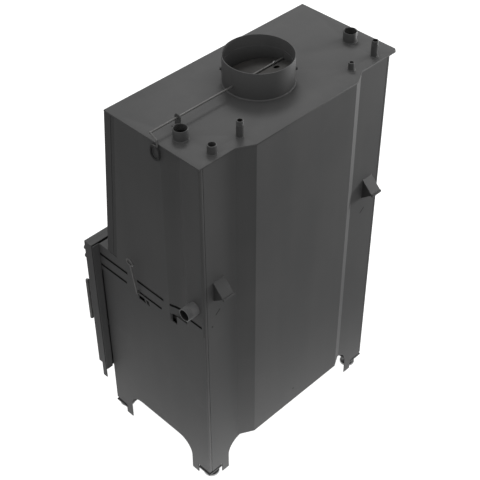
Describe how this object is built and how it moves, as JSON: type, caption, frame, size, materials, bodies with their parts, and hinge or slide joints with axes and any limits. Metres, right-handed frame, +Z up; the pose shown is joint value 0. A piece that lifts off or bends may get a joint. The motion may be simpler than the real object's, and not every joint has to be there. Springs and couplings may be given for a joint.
{
  "type": "boiler fireplace insert",
  "caption": "Steel boiler fireplace insert: water jacket, slanted hood, bulged back, arched legs, flue collar with damper, glazed front door.",
  "frame": {"origin": "middle of the bounding box on the floor under the levelling feet", "axes": "+Z up, -Y out of the door at the front, +X to the right when looking at the door's front"},
  "size_m": [0.831, 0.5864, 1.385],
  "materials": {
    "anthracite_paint": "matte heat-resistant paint, fine grain",
    "dark_plate": "matte heat-resistant paint on boiler plate",
    "inner_steel": "bare dull steel darkened by heat",
    "socket_steel": "matte paint over pipe sockets",
    "bright_steel": "zinc-plated, dull",
    "rod_steel": "dull dark steel",
    "copper": "plain copper tube",
    "fireclay": "rough fired clay",
    "vermiculite": "pressed board, rough",
    "glass": "clear glass-ceramic",
    "rope": "woven glass rope"
  },
  "bodies": {
    "insert_body": {"top_plate": "anthracite_paint", "flue_collar": "anthracite_paint", "supply_sockets": "socket_steel", "vent_socket": "socket_steel", "sensor_pocket": "socket_steel", "loop_ends": "socket_steel", "cooling_loop": "copper", "back_plate": "anthracite_paint", "side_panel_right": "anthracite_paint", "side_panel_left": "anthracite_paint", "lower_side_right": "anthracite_paint", "lower_side_left": "anthracite_paint", "hood_front": "anthracite_paint", "ledge_plate": "anthracite_paint", "front_plate": "dark_plate", "base_plate": "dark_plate", "jacket_sides": "dark_plate", "shell_sides": "inner_steel", "shell_back": "inner_steel", "shell_floor": "inner_steel", "shell_throat": "inner_steel", "tube_sheets": "inner_steel", "smoke_tubes": "inner_steel", "ash_box": "dark_plate", "ash_pan": "bright_steel", "hearth_slab": "fireclay", "lining_back": "vermiculite", "lining_sides": "vermiculite", "baffle": "vermiculite", "air_tube": "dark_plate", "air_inlet": "dark_plate", "slider_rails": "rod_steel", "return_pipe": "socket_steel", "rear_hooks": "anthracite_paint", "leg_brackets": "dark_plate", "leg_nuts": "bright_steel", "levelling_feet": "bright_steel", "frame_rim": "anthracite_paint", "frame_face": "anthracite_paint", "frame_throat": "anthracite_paint", "hinge_brackets": "anthracite_paint", "hinge_pins": "bright_steel", "latch_keeper": "bright_steel", "hood_bolts": "rod_steel", "rod_guide": "anthracite_paint"},
    "door": {"door_leaf": "anthracite_paint", "door_knuckles": "anthracite_paint", "door_glass": "glass", "glass_clips": "rod_steel", "clip_screws": "bright_steel", "door_seal": "rope", "door_studs": "rod_steel"},
    "latch": {"latch_handle": "rod_steel"},
    "damper": {"damper_flap": "inner_steel", "damper_rod": "rod_steel", "damper_screws": "bright_steel"},
    "air_control": {"air_slider": "rod_steel", "air_lever": "rod_steel"},
    "loose_grate": {"grate": "inner_steel"}
  },
  "joints": [
    {"name": "door_hinge", "type": "hinge", "parent": "insert_body", "child": "door", "pos_m": [-0.4055, -0.26375, 0.49], "axis": [0, 0, -1], "range_deg": [0, 110]},
    {"name": "latch_turn", "type": "hinge", "parent": "door", "child": "latch", "pos_m": [0.3645, -0.25725, 0.405], "axis": [0, -1, 0], "range_deg": [0, 85]},
    {"name": "damper_turn", "type": "hinge", "parent": "insert_body", "child": "damper", "pos_m": [-0.0205, 0.07375, 1.327], "axis": [1, 0, 0], "range_deg": [-12, 78]},
    {"name": "air_slide", "type": "slide", "parent": "insert_body", "child": "air_control", "axis": [0, 1, 0], "range_m": [0, 0.09]},
    {"name": "grate_lift", "type": "slide", "parent": "insert_body", "child": "loose_grate", "axis": [0, 0, 1], "range_m": [0, 0.1]}
  ]
}
